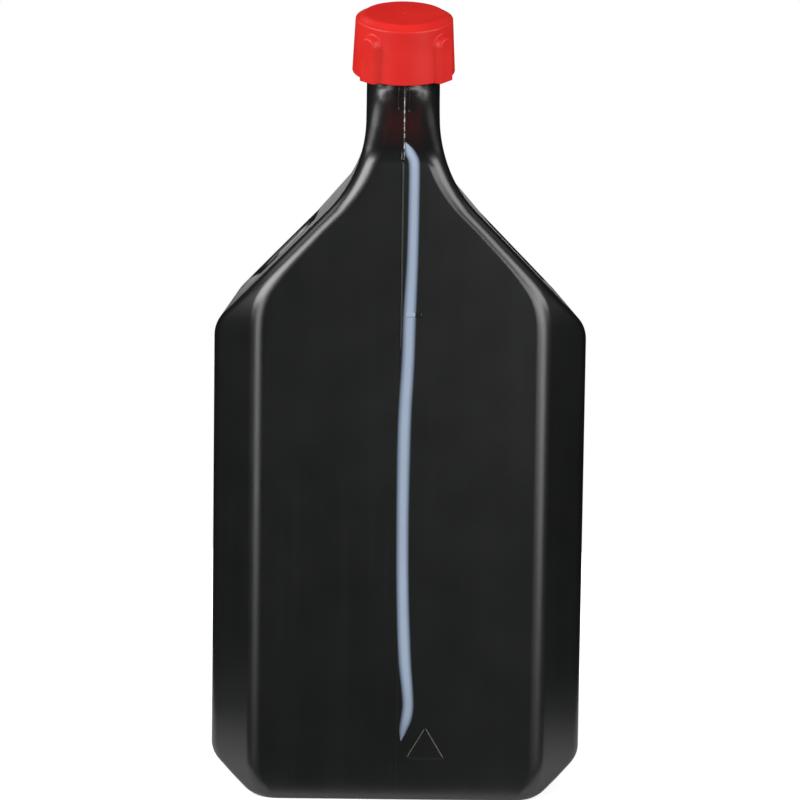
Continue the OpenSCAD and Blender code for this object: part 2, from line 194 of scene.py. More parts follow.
# Lines of the top, as functions of one step count that the front and the rear share
NECK_STEP = 13
LEAN_DIR = Vector((-sind(LEAN), cosd(LEAN)))
SIDE_DIR = Vector((cosd(LEAN), sind(LEAN)))
SEAT = Vector((-HALF_D + SEAT_BACK, SEAT_Z))
ROOT = SEAT - ROOT_DROP * LEAN_DIR
ROOT_FRONT, ROOT_BACK = ROOT - SKIN_R * SIDE_DIR, ROOT + SKIN_R * SIDE_DIR
BEND = Vector((-HALF_D, BEND_Z + BEND_ROUND * tand(22.5)))
BEND_END = Vector((-HALF_D + BEND_ROUND * (1 - cosd(45)), BEND_Z + BEND_ROUND * sind(45)))
MEET_S = (
    (ROOT_FRONT[0] - BEND[0]) * LEAN_DIR[1] - (ROOT_FRONT[1] - BEND[1]) * LEAN_DIR[0]
) / (LEAN_DIR[1] - LEAN_DIR[0])
MEET = BEND + MEET_S * Vector((1, 1))
SLOPE_END = MEET - THROAT * Vector((cosd(45), sind(45)))
NECK_UP = MEET + 0.95 * (ROOT_FRONT - MEET).length * LEAN_DIR
BEHIND = ROOT_BACK - ((ROOT_BACK[1] - RIDGE_Z) / LEAN_DIR[1]) * LEAN_DIR
REAR_Y = HALF_D - RIDGE_ROUND
RIDGE_RUN = REAR_Y - (BEHIND[0] + HEEL)


def parabola(a, b, c, t):
    """From a to c, leaving and arriving along the lines to b."""
    return a * (1 - t) ** 2 + b * 2 * t * (1 - t) + c * t * t


def front_at(t):
    """The front's middle line: upright face, bend, slope back, throat and the neck's front."""
    if t < 2:
        return Vector((-HALF_D, mix(FLARE_START, BEND_Z, t / 2)))
    if t < 4:
        a = 45 * (t - 2) / 2
        return Vector((-HALF_D + BEND_ROUND - BEND_ROUND * cosd(a), BEND_Z + BEND_ROUND * sind(a)))
    if t < 8:
        return BEND_END.lerp(SLOPE_END, (t - 4) / 4)
    if t < 12:
        return parabola(SLOPE_END, MEET, NECK_UP, (t - 8) / 4)
    return NECK_UP.lerp(ROOT_FRONT, t - 12)


def rear_at(t):
    """The rear's middle line: round rear edge, ridge, heel and the neck's back."""
    if t < 4:
        a = 90 * (t / 4) ** 1.2
        return Vector((REAR_Y + RIDGE_ROUND * cosd(a), RIDGE_Z - RIDGE_ROUND + RIDGE_ROUND * sind(a)))
    if t < 9:
        return Vector((REAR_Y - RIDGE_RUN * ((t - 4) / 5), RIDGE_Z))
    heel_up = BEHIND + HEEL * LEAN_DIR
    if t < 11.5:
        return parabola(BEHIND + Vector((HEEL, 0)), BEHIND, heel_up, (t - 9) / 2.5)
    return heel_up.lerp(ROOT_BACK, (t - 11.5) / 1.5)


def top_ring(t):
    """A ring from the front line to the rear line, drawn in a little where the neck leaves the ridge."""
    front, back = front_at(t), rear_at(t)
    width = half_width((front[1] + back[1]) / 2)
    front_round = min(mix(HIP_ROUND, SKIN_R, (t / NECK_STEP) ** 1.3), width)
    back_round = min(mix(HIP_ROUND, SKIN_R, clamp(t / 4)), width)
    pinch = 0.2 * ease(t, 3.2, 6) * (1 - ease(t, 8.5, 11))
    return ring(front, back, width, front_round, back_round, pinch)


def neck_ring(s, radius):
    """A round ring on the leaning axis, s above the cap's seat."""
    middle = SEAT + s * LEAN_DIR
    quarter = corner(radius, radius, ARC_SHARE * radius, radius)
    out = []
    for x, v in all_round(quarter, quarter):
        out.append(Vector((x, middle[0] + SIDE_DIR[0] * v, middle[1] + SIDE_DIR[1] * v)) * MM)
    return out


# Mesh helpers
def new_piece(name, bm, material, body):
    mesh = bpy.data.meshes.new(name)
    bm.to_mesh(mesh)
    bm.free()
    for face in mesh.polygons:
        face.use_smooth = True
    mesh.materials.append(material)
    piece = bpy.data.objects.new(name, mesh)
    bpy.context.scene.collection.objects.link(piece)
    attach(piece, body)
    return piece


def loft(bm, rings):
    """Draws a first ring and extrudes it through the others, in order. Returns the first and last loops."""
    count = len(rings[0])
    loop = bmesh.ops.create_circle(bm, cap_ends=False, segments=count, radius=1)["verts"]
    first = loop
    for vert, point in zip(loop, rings[0]):
        vert.co = point
    for points in rings[1:]:
        edges = [bm.edges.get((loop[i], loop[(i + 1) % count])) for i in range(count)]
        grown = bmesh.ops.extrude_edge_only(bm, edges=edges)["geom"]
        fresh = {tuple(v.co): v for v in grown if isinstance(v, bmesh.types.BMVert)}
        loop = [fresh[tuple(v.co)] for v in loop]
        for vert, point in zip(loop, points):
            vert.co = point
    return first, loop


def fill(bm, loop):
    count = len(loop)
    edges = [bm.edges.get((loop[i], loop[(i + 1) % count])) for i in range(count)]
    bmesh.ops.contextual_create(bm, geom=edges)


def closed_loft(rings):
    """A lofted solid with its two ends filled and its faces outwards."""
    bm = bmesh.new()
    first, last = loft(bm, rings)
    fill(bm, first)
    fill(bm, last)
    bmesh.ops.recalc_face_normals(bm, faces=bm.faces)
    return bm


def even_shading(piece):
    modifier = piece.modifiers.new("even_shading", "WEIGHTED_NORMAL")
    modifier.keep_sharp = True


# Materials
def linear(hex_colour):
    """sRGB hex to linear RGBA."""
    parts = [int(hex_colour[i : i + 2], 16) / 255 for i in (1, 3, 5)]
    return [c / 12.92 if c <= 0.04045 else ((c + 0.055) / 1.055) ** 2.4 for c in parts] + [1.0]


def grey(v):
    return [v, v, v, 1.0]


def cells(size_mm):
    """Scale of a pattern whose cells are about so many millimetres wide."""
    return 1 / (size_mm * MM)


def add(tree, kind, settings=None, inputs=None, links=None):
    """Adds one node, sets its fields and sockets and links its inputs."""
    node = tree.nodes.new(kind)
    for key, value in (settings or {}).items():
        setattr(node, key, value)
    for key, value in (inputs or {}).items():
        node.inputs[key].default_value = value
    for key, source in (links or {}).items():
        tree.links.new(source, node.inputs[key])
    return node


def new_material(name):
    material = bpy.data.materials.new(name)
    material.use_nodes = True
    material.node_tree.nodes.clear()
    return material, material.node_tree


def ramp(tree, source, stops, interpolation="LINEAR"):
    node = add(tree, "ShaderNodeValToRGB", links={"Fac": source})
    node.color_ramp.interpolation = interpolation
    while len(node.color_ramp.elements) < len(stops):
        node.color_ramp.elements.new(0.5)
    for element, (place, colour) in zip(node.color_ramp.elements, stops):
        element.position = place
        element.color = colour
    return node.outputs["Color"]


def black_hdpe():
    """Blow-moulded HDPE, carbon black: satin skin from a blasted mould, slow waves from uneven cooling."""
    material, tree = new_material("blow_moulded_black_hdpe")
    place = add(tree, "ShaderNodeTexCoord").outputs["Object"]

    # The blasted mould's grain is drawn coarser than its real 0.2 mm, so that it shows at all
    grain = add(tree, "ShaderNodeTexNoise", inputs={"Scale": cells(1.11), "Detail": 2.0},
                links={"Vector": place}).outputs["Fac"]
    waves = add(tree, "ShaderNodeTexNoise", inputs={"Scale": cells(18.18), "Detail": 1.5},
                links={"Vector": place}).outputs["Fac"]
    cloud = add(tree, "ShaderNodeTexNoise", inputs={"Scale": cells(71.4), "Detail": 3.0},
                links={"Vector": place}).outputs["Fac"]
    drawn = add(tree, "ShaderNodeMapping", inputs={"Scale": (cells(3.846), cells(3.846), cells(111))},
                links={"Vector": place}).outputs["Vector"]
    streaks = add(tree, "ShaderNodeTexNoise", inputs={"Scale": 1.0, "Detail": 3.0},
                  links={"Vector": drawn}).outputs["Fac"]

    colour = ramp(tree, cloud, [(0.3, linear("#0E0F0F")), (0.7, linear("#121313"))])
    streaked = ramp(tree, streaks, [(0.45, grey(0)), (0.75, grey(0.6))])
    tone = add(tree, "ShaderNodeMix", {"data_type": "RGBA", "blend_type": "MIX"}, {"B": linear("#151617")},
               {"Factor": streaked, "A": colour}).outputs["Result"]
    rough = add(tree, "ShaderNodeMapRange", inputs={"To Min": 0.26, "To Max": 0.33},
                links={"Value": waves}).outputs["Result"]

    # Relief: the grain, the waves, and the mould's parting line all round the middle plane
    fine = add(tree, "ShaderNodeBump", inputs={"Strength": 0.1, "Distance": 0.1 * MM},
               links={"Height": grain}).outputs["Normal"]
    broad = add(tree, "ShaderNodeBump", inputs={"Strength": 0.12, "Distance": 0.3 * MM},
                links={"Height": waves, "Normal": fine}).outputs["Normal"]
    sideways = add(tree, "ShaderNodeSeparateXYZ", links={"Vector": place}).outputs["X"]
    off = add(tree, "ShaderNodeMath", {"operation": "ABSOLUTE"}, links={"Value": sideways}).outputs["Value"]
    near = add(tree, "ShaderNodeMapRange", inputs={"From Max": 1 * MM},
               links={"Value": off}).outputs["Result"]
    seam = ramp(tree, near, [(0.0, grey(1)), (0.25, grey(0.8)), (0.5, grey(0))])
    parted = add(tree, "ShaderNodeBump", inputs={"Strength": 0.3, "Distance": 0.1 * MM},
                 links={"Height": seam, "Normal": broad}).outputs["Normal"]

    shader = add(tree, "ShaderNodeBsdfPrincipled", inputs={"IOR": 1.54, "Specular IOR Level": 0.7},
                 links={"Base Color": tone, "Roughness": rough, "Normal": parted})
    add(tree, "ShaderNodeOutputMaterial", links={"Surface": shader.outputs["BSDF"]})
    return material


def cloudy_strip():
    """Natural HDPE let into the black wall: milky blue-grey, its edges fused softly into the black."""
    material, tree = new_material("co_extruded_natural_hdpe")
    place = add(tree, "ShaderNodeTexCoord").outputs
    over = add(tree, "ShaderNodeSeparateXYZ", links={"Vector": place["UV"]}).outputs
    cloud = add(tree, "ShaderNodeTexNoise", inputs={"Scale": cells(28.57), "Detail": 2.0},
                links={"Vector": place["Object"]}).outputs["Fac"]
    milk = ramp(tree, cloud, [(0.3, linear("#8C9AAD")), (0.7, linear("#94A2B5"))])

    # It thins towards both edges and its lower end, where the dark inside shows through
    thin = ramp(tree, over["X"], [(0.1, linear("#8292A2")), (0.42, linear("#FFFFFF")),
                                  (0.62, linear("#FFFFFF")), (0.9, linear("#8D9BA9"))], "EASE")
    milk = add(tree, "ShaderNodeMix", {"data_type": "RGBA", "blend_type": "MULTIPLY"}, {"Factor": 0.75},
               {"A": milk, "B": thin}).outputs["Result"]
    fading = ramp(tree, over["Y"], [(0.0, grey(0.5)), (0.05, grey(0.88)), (0.14, grey(1))], "EASE")
    milk = add(tree, "ShaderNodeMix", {"data_type": "RGBA", "blend_type": "MULTIPLY"}, {"Factor": 1.0},
               {"A": milk, "B": fading}).outputs["Result"]
    edge = ramp(tree, over["X"], [(0.02, grey(0)), (0.17, grey(1)),
                                  (0.83, grey(1)), (0.98, grey(0))], "EASE")
    colour = add(tree, "ShaderNodeMix", {"data_type": "RGBA"}, {"A": linear("#1E1F20")},
                 {"Factor": edge, "B": milk}).outputs["Result"]

    shader = add(tree, "ShaderNodeBsdfPrincipled", inputs={"IOR": 1.52, "Roughness": 0.38},
                 links={"Base Color": colour})
    add(tree, "ShaderNodeOutputMaterial", links={"Surface": shader.outputs["BSDF"]})
    return material


def natural_mark():
    """Natural HDPE standing proud of the strip: the same milky blue-grey."""
    material, tree = new_material("natural_hdpe_raised_mark")
    place = add(tree, "ShaderNodeTexCoord").outputs["Object"]
    cloud = add(tree, "ShaderNodeTexNoise", inputs={"Scale": cells(2.5), "Detail": 2.0},
                links={"Vector": place}).outputs["Fac"]
    milk = ramp(tree, cloud, [(0.3, linear("#8E9CAF")), (0.7, linear("#96A4B7"))])
    shader = add(tree, "ShaderNodeBsdfPrincipled", inputs={"IOR": 1.54, "Roughness": 0.25},
                 links={"Base Color": milk})
    add(tree, "ShaderNodeOutputMaterial", links={"Surface": shader.outputs["BSDF"]})
    return material


def flash_with_painted_glints():
    """Black HDPE where the pinch-off was trimmed: torn, with pale short runs that are painted glints, light
    caught on the jagged flash.
    """
    material, tree = new_material("trimmed_black_hdpe_flash_painted_glints")
    place = add(tree, "ShaderNodeTexCoord").outputs["Object"]
    torn = add(tree, "ShaderNodeTexNoise", inputs={"Scale": cells(1.4286), "Detail": 3.0},
               links={"Vector": place}).outputs["Fac"]
    # The pale runs are painted highlights: glints of the lamps on the torn flash, put into its colour
    colour = ramp(tree, torn, [(0.36, linear("#1A1A1B")), (0.5, linear("#6C6B6A")),
                               (0.62, linear("#B4B2AE"))])
    bump = add(tree, "ShaderNodeBump", inputs={"Strength": 0.6, "Distance": 0.2 * MM},
               links={"Height": torn}).outputs["Normal"]
    shader = add(tree, "ShaderNodeBsdfPrincipled", inputs={"IOR": 1.54, "Roughness": 0.45},
                 links={"Base Color": colour, "Normal": bump})
    add(tree, "ShaderNodeOutputMaterial", links={"Surface": shader.outputs["BSDF"]})
    return material


def red_cap():
    """Injection-moulded polypropylene, signal red: even gloss, slight flow marks from the gate."""
    material, tree = new_material("injection_moulded_red_polypropylene")
    place = add(tree, "ShaderNodeTexCoord").outputs["Object"]
    cloud = add(tree, "ShaderNodeTexNoise", inputs={"Scale": cells(14.29), "Detail": 2.0},
                links={"Vector": place}).outputs["Fac"]
    # The mould's fine matt, drawn coarser than its real 0.1 mm
    grain = add(tree, "ShaderNodeTexNoise", inputs={"Scale": cells(0.4545), "Detail": 1.0},
                links={"Vector": place}).outputs["Fac"]
    colour = ramp(tree, cloud, [(0.3, linear("#D01E18")), (0.7, linear("#D8251D"))])
    rough = add(tree, "ShaderNodeMapRange", inputs={"To Min": 0.38, "To Max": 0.48},
                links={"Value": cloud}).outputs["Result"]
    fine = add(tree, "ShaderNodeBump", inputs={"Strength": 0.15, "Distance": 0.05 * MM},
               links={"Height": grain}).outputs["Normal"]
    shader = add(tree, "ShaderNodeBsdfPrincipled", inputs={"IOR": 1.49, "Specular IOR Level": 0.4},
                 links={"Base Color": colour, "Roughness": rough, "Normal": fine})
    add(tree, "ShaderNodeOutputMaterial", links={"Surface": shader.outputs["BSDF"]})
    return material


def foam_seal():
    """Foamed polyethylene disc: matt, off-white, with fine cells."""
    material, tree = new_material("foamed_polyethylene")
    place = add(tree, "ShaderNodeTexCoord").outputs["Object"]

    # Real cells are about 0.2 mm; they are drawn coarser, so that they show
    foam = add(tree, "ShaderNodeTexVoronoi", inputs={"Scale": cells(0.714)},
               links={"Vector": place}).outputs["Distance"]
    colour = ramp(tree, foam, [(0.1, linear("#D9D5CC")), (0.6, linear("#ECE9E2"))])
    bump = add(tree, "ShaderNodeBump", inputs={"Strength": 0.4, "Distance": 0.1 * MM},
               links={"Height": foam}).outputs["Normal"]
    shader = add(tree, "ShaderNodeBsdfPrincipled", inputs={"IOR": 1.45, "Roughness": 0.8},
                 links={"Base Color": colour, "Normal": bump})
    add(tree, "ShaderNodeOutputMaterial", links={"Surface": shader.outputs["BSDF"]})
    return material


BLACK, STRIP, MARK = black_hdpe(), cloudy_strip(), natural_mark()
FLASH, RED, FOAM = flash_with_painted_glints(), red_cap(), foam_seal()


# The blown shell with its neck
def shell_rings():
    """Rings from the middle of the pushed-up base, round its rim and up the walls, to the neck's foot."""
    rim_in = FOOT_ROUND + RIM_W
    base = ((PUSH_UP, rim_in + 26), (PUSH_UP, rim_in + 6), (PUSH_UP * 0.93, rim_in + 4),
            (PUSH_UP * 0.6, rim_in + 2.4), (PUSH_UP * 0.15, rim_in + 0.9), (0, rim_in),
            (0, rim_in - 1), (0, FOOT_ROUND + 1))
    rings = [level(z, inset, 0) for z, inset in base]
    for i in range(7):
        a = 90 * i / 6
        z = FOOT_ROUND * (1 - cosd(a))
        rings.append(level(z, FOOT_ROUND * (1 - sind(a)), z))
    heights = [mix(FOOT_ROUND, BASE_BEND_START, 0.5)]
    heights += [mix(BASE_BEND_START, BASE_BEND_END, i / 7) for i in range(8)]
    heights += [BASE_BEND_END + 2, 60, 110, SHOULDER_START - 3]
    heights += [mix(SHOULDER_START, SHOULDER_END, i / 8) for i in range(9)]
    heights += [mix(SHOULDER_END, SHOULDER_END + 24, (i + 1) / 10) for i in range(10)]
    heights += [mix(SHOULDER_END + 24, FLARE_START, 0.5)]
    rings += [level(z) for z in heights]
    rings += [top_ring(i / 4) for i in range(4 * NECK_STEP + 1)]
    return rings


def neck_rings():
    """Rings up the finish, over the mouth and down the bore, as (height above the seat, radius)."""
    rows = [(-ROOT_DROP + 1, NECK_R), (0.6, NECK_R), (1.0, NECK_R + 0.1), (2.0, FINISH_R - 0.1),
            (2.4, FINISH_R), (3.0, FINISH_R), (FINISH_H - 1.0, FINISH_R)]
    rows += [(FINISH_H - 0.6 + 0.6 * sind(a), FINISH_R - 0.6 + 0.6 * cosd(a)) for a in (15, 45, 75, 90)]
    rows += [(FINISH_H - 0.4 + 0.4 * cosd(a), BORE_R + 0.4 - 0.4 * sind(a)) for a in (0, 45, 90)]
    rows += [(FINISH_H - 3, BORE_R), (0, BORE_R), (-20, BORE_R), (-34, BORE_R + 0.8),
             (-38, BORE_R * 0.8), (-39.5, BORE_R * 0.4)]
    return [neck_ring(s, r) for s, r in rows]


def hand_outline(grow, steps=16):
    """Points of the hand opening's outline, grown outwards, in (y, z)."""
    r = HAND_ROUND
    near, far = -HALF_D + HAND_BACK + r, -HALF_D + HAND_BACK + HAND_L - r
    low, high = HAND_Z + r, HAND_Z + HAND_H - r
    points = []
    for y, z, start in ((far, high, 0), (near, high, 90), (near, low, 180), (far, low, 270)):
        for i in range(steps):
            a = start + 90 * i / (steps - 1)
            points.append((y + (r + grow) * cosd(a), z + (r + grow) * sind(a)))
    return points


def hand_plug():
    """A closed plug the shape of the hand opening, with flared mouths so that the rims come out rolled."""
    plug_end = 90.0
    half = [[Vector((plug_end, y, z)) * MM for y, z in hand_outline(RIM_ROLL * 0.86)]]
    for a in (82, 70, 55, 40, 25, 12, 0):
        sunk = -RIM_ROLL * (1 - sind(a)) * 1.05
        outline = hand_outline(RIM_ROLL * (1 - cosd(a)))
        half.append([Vector((slope_x(z) + sunk, y, z)) * MM for y, z in outline])
    other = [[Vector((-p.x, p.y, p.z)) for p in row] for row in reversed(half)]
    mesh = bpy.data.meshes.new("plug")
    bm = closed_loft(half + other)
    bm.to_mesh(mesh)
    bm.free()
    for face in mesh.polygons:
        face.use_smooth = True
    plug = bpy.data.objects.new("plug", mesh)
    bpy.context.scene.collection.objects.link(plug)
    return plug


def build_shell():
    shell = new_piece("blown_shell", closed_loft(shell_rings() + neck_rings()), BLACK, "canister")
    plug = hand_plug()
    cut = shell.modifiers.new("hand_opening", "BOOLEAN")
    cut.operation, cut.solver, cut.object = "DIFFERENCE", "EXACT", plug
    bpy.context.view_layer.update()
    result = bpy.data.meshes.new_from_object(shell.evaluated_get(bpy.context.evaluated_depsgraph_get()))
    shell.modifiers.remove(cut)
    result.name = "blown_shell"
    shell.data = result
    bpy.data.objects.remove(plug)
    result.materials.clear()
    result.materials.append(BLACK)
    for face in result.polygons:
        face.use_smooth = True
    even_shading(shell)
    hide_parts("body", "neck")


build_shell()


# Threads
CREST_R = FINISH_R + THREAD_H
CAP_BORE_R = CREST_R + THREAD_GAP
CAP_CREST_R = FINISH_R + THREAD_GAP
THREAD_Z = FINISH_H - THREAD_TOP - PITCH * NECK_TURNS
CAP_THREAD_Z = THREAD_Z - PITCH / 2 + PITCH * (NECK_TURNS - CAP_TURNS) / 2


def on_neck(point):
    """From the cap's own frame (axis up, seat at 0) to the leaning neck, in metres."""
    x, y, s = point
    middle = SEAT + s * LEAN_DIR + y * SIDE_DIR
    return Vector((x, middle[0], middle[1])) * MM


def thread_rings(r0, r1, h0, h1, z0, turns, a0):
    """Sections of a thread from root r0 to crest r1, which rises and falls away at its two ends."""
    count = math.ceil(turns * THREAD_STEPS)
    rows = []
    for i in range(count + 1):
        t = i / count
        a, z = a0 + 360 * turns * t, z0 + PITCH * turns * t
        risen = clamp(min(t, 1 - t) * count / 5)
        crest = mix(r0, r1, max(risen, 0.12))
        flank, flank_h = mix(r0, crest, 0.85), mix(h0, h1, 0.85)
        profile = [(r0, z - h0), (flank, z - flank_h), (crest, z - h1 * 0.7),
                   (crest, z + h1 * 0.7), (flank, z + flank_h), (r0, z + h0)]
        rows.append([on_neck((r * cosd(a), r * sind(a), s)) for r, s in profile])
    return rows


def build_thread(name, rings, material, body):
    piece = new_piece(name, closed_loft(rings), material, body)
    even_shading(piece)


build_thread(
    "neck_thread",
    thread_rings(FINISH_R - 0.3, CREST_R, 0.27 * PITCH, 0.125 * PITCH, THREAD_Z, NECK_TURNS, 90),
    BLACK, "canister")
build_thread(
    "cap_thread",
    thread_rings(CAP_BORE_R + 0.3, CAP_CREST_R, 0.23 * PITCH, 0.106 * PITCH, CAP_THREAD_Z, CAP_TURNS,
                 90 + 180 * (NECK_TURNS - CAP_TURNS)),
    RED, "cap")


# The cap
CAP_H = CAP_SIDE_H + CAP_BEVEL
CAP_ROOF = FINISH_H + 1.4


def lobe_lift(angle, s):
    """Share of a finger lobe at that place on the cap's side, and the lobe's flat face there."""
    best, reach = 0.0, 0.0
    for i in range(LOBES):
        centre = -90 + LOBE_TURN + i * 360 / LOBES
        d = (angle - centre + 180) % 360 - 180
        if abs(d) > 30:
            continue
        u = CAP_R * math.radians(d)
        arch = CAP_SIDE_H - LOBE_TOP - LOBE_W / 2
        out = (math.hypot(u, s - arch) if s > arch else abs(u)) - LOBE_W / 2
        share = 1 - ease(out, -0.45, 0.95)
        if share > best:
            best, reach = share, LOBE_R / cosd(d)
    return best, reach


def cap_ring(s, radius, lobes=False):
    points = []
    for i in range(CAP_SEGMENTS):
        angle = 360 * i / CAP_SEGMENTS
        r = radius
        if lobes:
            share, reach = lobe_lift(angle, s)
            r = mix(radius, reach - (0.35 * s / CAP_SIDE_H), share)
        points.append(on_neck((r * cosd(angle), r * sind(angle), s)))
    return points


def cap_side(s):
    """Radius of the cap's tapered side."""
    return mix(CAP_R, CAP_TOP_R, s / CAP_SIDE_H)


def build_cap():
    """Rings from the roof down the hollow, round the foot, up the side with its lobes and over the top."""
    hollow = ((CAP_ROOF, 4.0), (CAP_ROOF, CAP_BORE_R - 0.8), (CAP_ROOF - 0.25, CAP_BORE_R - 0.2),
              (CAP_ROOF - 0.8, CAP_BORE_R), (8, CAP_BORE_R), (1.2, CAP_BORE_R), (0.4, CAP_BORE_R + 0.15),
              (0.1, CAP_BORE_R + 0.4), (0, CAP_BORE_R + 0.8), (0, CAP_R - 0.5))
    rows = [cap_ring(s, r) for s, r in hollow]
    for a in (25, 50, 75, 90):
        rows.append(cap_ring(CAP_FOOT * (1 - cosd(a)), cap_side(0) - CAP_FOOT * (1 - sind(a)), True))
    top, count = CAP_SIDE_H - CAP_EDGE, 44
    for i in range(1, count + 1):
        s = CAP_FOOT + (top - CAP_FOOT) * i / count
        rows.append(cap_ring(s, cap_side(s), True))
    for a in (20, 40, 60, 80):
        rows.append(cap_ring(top + CAP_EDGE * sind(a), cap_side(top) - CAP_EDGE * (1 - cosd(a))))
    bevel_start = Vector((cap_side(top) - 0.9, CAP_SIDE_H + 0.05))
    bevel_end = Vector((CAP_DISC_R + 0.35, CAP_H - 0.14))
    for k in (0, 0.33, 0.67, 1):
        r, s = bevel_start.lerp(bevel_end, k)
        rows.append(cap_ring(s, r))

    # The flat top, with the moat and the stub of the gate in its middle
    flat = ((-0.03, CAP_DISC_R - 0.1), (0, CAP_DISC_R - 0.6), (-0.04, 6.0), (-0.05, 1.2), (-0.05, 0.8),
            (-0.16, 0.7), (-0.16, 0.45), (0.05, 0.38), (0.15, 0.25), (0.18, 0.08))
    rows += [cap_ring(CAP_H + s, r) for s, r in flat]
    cap = new_piece("screw_cap", closed_loft(rows), RED, "cap")
    even_shading(cap)
    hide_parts("cap")


build_cap()

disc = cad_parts["cap_disc"]
disc.data.materials.clear()
disc.data.materials.append(FOAM)


# The sight strip, as (height, middle, share of its full width) up its wandering run
STRIP_RUN = [
    (22.6, 2.0, 0.04), (23.5, 2.15, 0.2), (25, 2.5, 0.45), (27, 2.9, 0.66), (29.5, 3.6, 0.84),
    (32.6, 4.2, 0.9), (36, 4.5, 0.88), (42, 4.12, 0.92), (51, 3.2, 1.0), (60.7, 2.62, 1.02),
    (75.6, 2.02, 0.99), (90.5, 1.7, 0.98), (112.7, 1.56, 1.0), (142, 1.83, 1.08), (164, 2.83, 1.02),
    (180.5, 3.18, 1.01), (201, 3.92, 0.91), (229.4, 4.2, 0.88), (235.2, 4.11, 0.88), (237, 3.8, 0.91),
    (238.7, 2.98, 0.95), (240.5, 2.12, 0.84), (241.4, 1.7, 0.66), (242.6, 1.15, 0.3), (243.2, 0.9, 0.04),
]


def smooth_run(z, column):
    """Value of the strip's run at a height, with a smooth curve through the points."""
    run = STRIP_RUN
    if z <= run[0][0]:
        return run[0][column]
    for k in range(len(run) - 1):
        if z <= run[k + 1][0]:
            break
    span = run[k + 1][0] - run[k][0]
    t = (z - run[k][0]) / span
    before, after = run[max(k - 1, 0)], run[min(k + 2, len(run) - 1)]
    a, b = run[k][column], run[k + 1][column]
    m0 = (b - before[column]) / max(run[k + 1][0] - before[0], 1e-6) * span
    m1 = (after[column] - a) / max(after[0] - run[k][0], 1e-6) * span
    leave = (2 * t**3 - 3 * t**2 + 1) * a + (t**3 - 2 * t**2 + t) * m0
    return leave + (-2 * t**3 + 3 * t**2) * b + (t**3 - t**2) * m1


def step_at(z):
    """Step of the front's middle line at a height, above the bend."""
    low, high = 2.0, float(NECK_STEP)
    for _ in range(40):
        middle = (low + high) / 2
        low, high = (middle, high) if front_at(middle)[1] < z else (low, middle)
    return low


def front_y(z):
    """The front's middle line: y at a height, up to the neck's foot, and the normal there."""
    if z < BEND_Z:
        return -HALF_D, Vector((0, -1, 0))
    t = step_at(z)
    d = (front_at(t + 0.01) - front_at(t - 0.01)).normalized()
    return front_at(t)[0], Vector((0, -d[1], d[0]))


def build_strip():
    across, up = 8, 220
    bm = bmesh.new()
    bm.loops.layers.uv.new("across_and_up")
    grid = bmesh.ops.create_grid(bm, x_segments=across, y_segments=up, size=1, calc_uvs=True)["verts"]
    for vert in grid:
        u, v = (vert.co.x + 1) / 2, (vert.co.y + 1) / 2
        z = mix(STRIP_RUN[0][0], STRIP_RUN[-1][0], v)
        width = clamp(smooth_run(z, 2), 0.02, 1.05) * (STRIP_W + STRIP_EDGE)
        y, normal = front_y(z)
        vert.co = (Vector((smooth_run(z, 1) + (u - 0.5) * width, y, z)) + normal * STRIP_PROUD) * MM
    bmesh.ops.recalc_face_normals(bm, faces=bm.faces)
    strip = new_piece("sight_strip_face", bm, STRIP, "canister")
    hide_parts("sight_strip")
    if strip.data.polygons[0].normal.y > 0:
        strip.data.flip_normals()


build_strip()


# Raised marks on the front
def build_full_mark(name, start, end, material):
    """One length of the raised level bar; the wall changes colour under it, so the bar does too."""
    bm = bmesh.new()
    bmesh.ops.create_cube(bm, size=1)
    bmesh.ops.scale(bm, vec=((end - start) * MM, MARK_DEPTH * MM, MARK_H * MM), verts=bm.verts)
    bmesh.ops.translate(bm, vec=Vector(((start + end) / 2, -HALF_D, MARK_Z)) * MM, verts=bm.verts)
    bmesh.ops.bevel(bm, geom=list(bm.edges), offset=MARK_ROUND * MM, segments=4, profile=0.5,
                    affect="EDGES", material=-1)
    mark = new_piece(name, bm, material, "canister")
    even_shading(mark)


def build_triangle():
    """A rounded raised line round a triangle; it fades into the wall towards the lower side."""
    section = ((-0.5, -0.5), (-0.5, 0), (-0.38, 0.5), (-0.18, 0.9), (0, 1), (0.18, 0.9), (0.38, 0.5),
               (0.5, 0), (0.5, -0.5))
    middle = Vector((TRI_X, TRI_Z + TRI_H / 3))
    corners = [Vector((TRI_X, TRI_Z + TRI_H)), Vector((TRI_X - TRI_W / 2, TRI_Z)),
               Vector((TRI_X + TRI_W / 2, TRI_Z))]
    rows = []
    for i, tip in enumerate(corners):
        before, after = corners[i - 1], corners[(i + 1) % 3]
        outwards = (tip - middle).normalized()
        turn = ((tip.lerp(before, 0.07), tip - before), (tip, None), (tip.lerp(after, 0.07), after - tip))
        for place, side in turn:
            out = outwards * 1.8
            if side is not None:
                out = Vector((-side.y, side.x)).normalized()
                out = out if out.dot(outwards) > 0 else -out
            proud = TRI_PROUD * mix(0.35, 1.0, clamp((place.y - TRI_Z) / TRI_H))
            row = []
            for u, h in section:
                p = place + out * (u * TRI_LINE)
                row.append(Vector((p.x, -HALF_D - h * proud, p.y)) * MM)
            rows.append(row)
    bm = bmesh.new()
    loft(bm, rows + [rows[0]])
    bmesh.ops.remove_doubles(bm, verts=bm.verts, dist=1e-7)
    bmesh.ops.recalc_face_normals(bm, faces=bm.faces)
    triangle = new_piece("triangle_mark", bm, BLACK, "canister")
    even_shading(triangle)


def front_line(t):
    """The front's middle line, which runs on up the leaning neck past its foot."""
    if t <= NECK_STEP:
        return front_at(t)
    return ROOT_FRONT + (t - NECK_STEP) * 2 * LEAN_DIR


